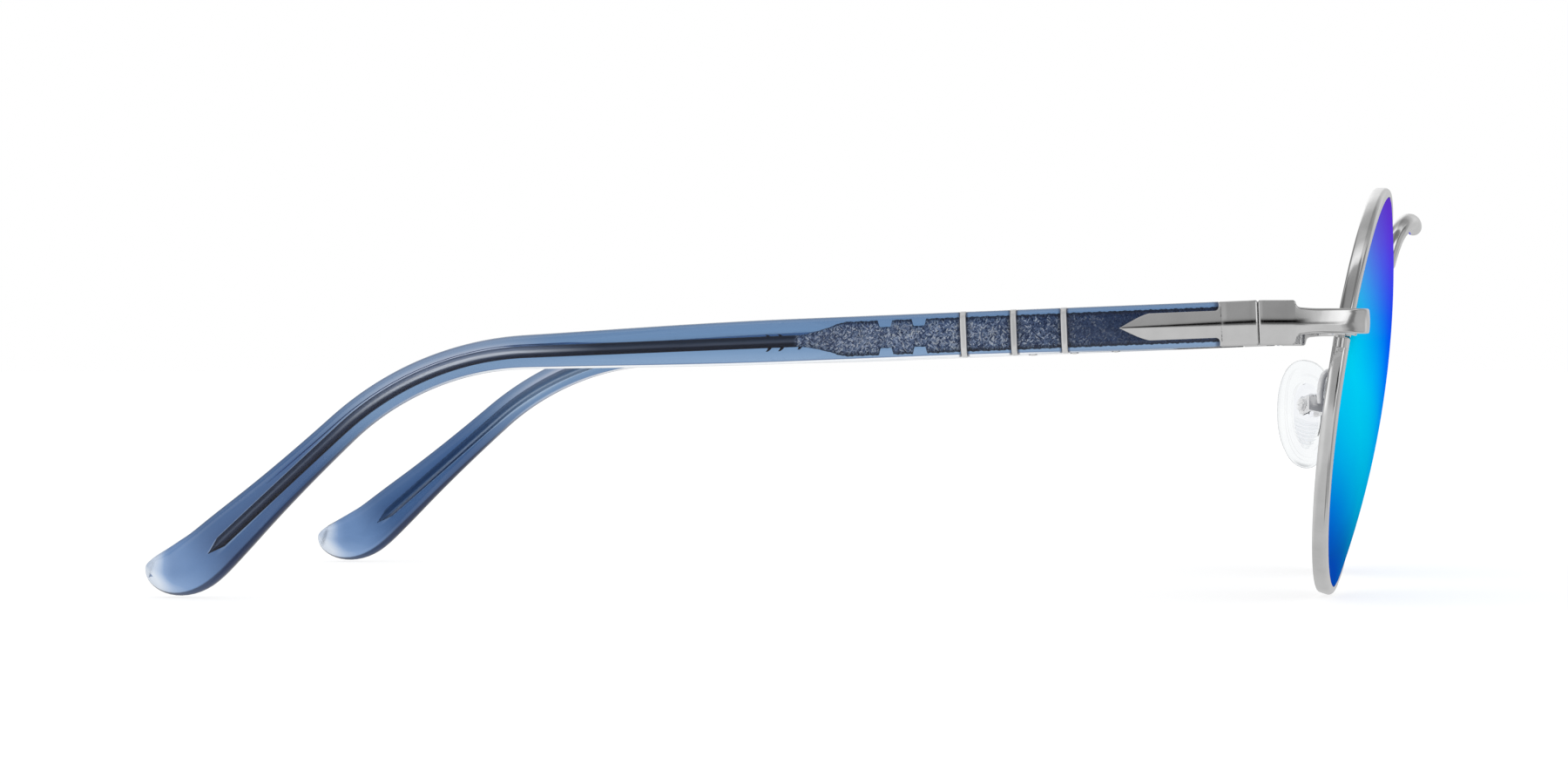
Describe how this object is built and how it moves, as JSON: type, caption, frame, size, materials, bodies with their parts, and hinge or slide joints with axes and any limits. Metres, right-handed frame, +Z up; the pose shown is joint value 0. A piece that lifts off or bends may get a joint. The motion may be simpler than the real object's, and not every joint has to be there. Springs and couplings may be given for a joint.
{
  "type": "sunglasses",
  "caption": "Round metal-rimmed sunglasses with a high arched wire bridge, mirrored lenses, rocking nose pads and folding translucent acetate temples on a metal core.",
  "frame": {"origin": "middle of the open glasses from side to side and from front to back, on the surface that the rims and both temple tips stand on", "axes": "+Y from the front back along the open temples, +Z up, +X to the wearer's left"},
  "size_m": [0.1396, 0.1571, 0.0506],
  "materials": {
    "frame_metal": "polished",
    "spacer_metal": "polished",
    "screw_steel": "satin",
    "hinge_steel": "satin",
    "core_steel": "dark, textured flat section",
    "mirror_lens": "polished, mirror coating from violet through cyan to blue",
    "acetate": "polished translucent blue",
    "pad_insert": "clear",
    "pad_silicone": "clear, soft"
  },
  "bodies": {
    "front": {"bridge": "frame_metal", "lens_right": "mirror_lens", "rim_right": "frame_metal", "endpiece_right": "frame_metal", "rim_lock_right": "frame_metal", "rim_screw_right": "screw_steel", "front_leaf_right": "hinge_steel", "hinge_screw_right": "screw_steel", "pad_arm_right": "frame_metal", "pad_box_right": "frame_metal", "pad_screw_right": "screw_steel", "lens_left": "mirror_lens", "rim_left": "frame_metal", "endpiece_left": "frame_metal", "rim_lock_left": "frame_metal", "rim_screw_left": "screw_steel", "front_leaf_left": "hinge_steel", "hinge_screw_left": "screw_steel", "pad_arm_left": "frame_metal", "pad_box_left": "frame_metal", "pad_screw_left": "screw_steel"},
    "pad_right": {"pad_core_right": "pad_insert", "nose_pad_right": "pad_silicone"},
    "pad_left": {"pad_core_left": "pad_insert", "nose_pad_left": "pad_silicone"},
    "temple_right": {"hinge_cap_right": "frame_metal", "temple_leaf_right": "hinge_steel", "core_wire_right": "core_steel", "front_sleeve_right": "acetate", "middle_sleeves_right": "acetate", "spacers_right": "spacer_metal", "temple_arm_right": "acetate"},
    "temple_left": {"hinge_cap_left": "frame_metal", "temple_leaf_left": "hinge_steel", "core_wire_left": "core_steel", "front_sleeve_left": "acetate", "middle_sleeves_left": "acetate", "spacers_left": "spacer_metal", "temple_arm_left": "acetate"}
  },
  "joints": [
    {"name": "temple_hinge_left", "type": "hinge", "parent": "front", "child": "temple_left", "pos_m": [0.0652, -0.05845, 0.03372], "axis": [0, 0.0394, 0.9992], "range_deg": [0, 86]},
    {"name": "temple_hinge_right", "type": "hinge", "parent": "front", "child": "temple_right", "pos_m": [-0.0652, -0.05845, 0.03372], "axis": [0, -0.0394, -0.9992], "range_deg": [0, 81]},
    {"name": "pad_rock_left", "type": "hinge", "parent": "front", "child": "pad_left", "pos_m": [0.012, -0.0643, 0.02317], "axis": [0.5, 0.8471, 0.1801], "range_deg": [-8, 8]},
    {"name": "pad_rock_right", "type": "hinge", "parent": "front", "child": "pad_right", "pos_m": [-0.012, -0.0643, 0.02317], "axis": [-0.5, 0.8471, 0.1801], "range_deg": [-8, 8]}
  ]
}
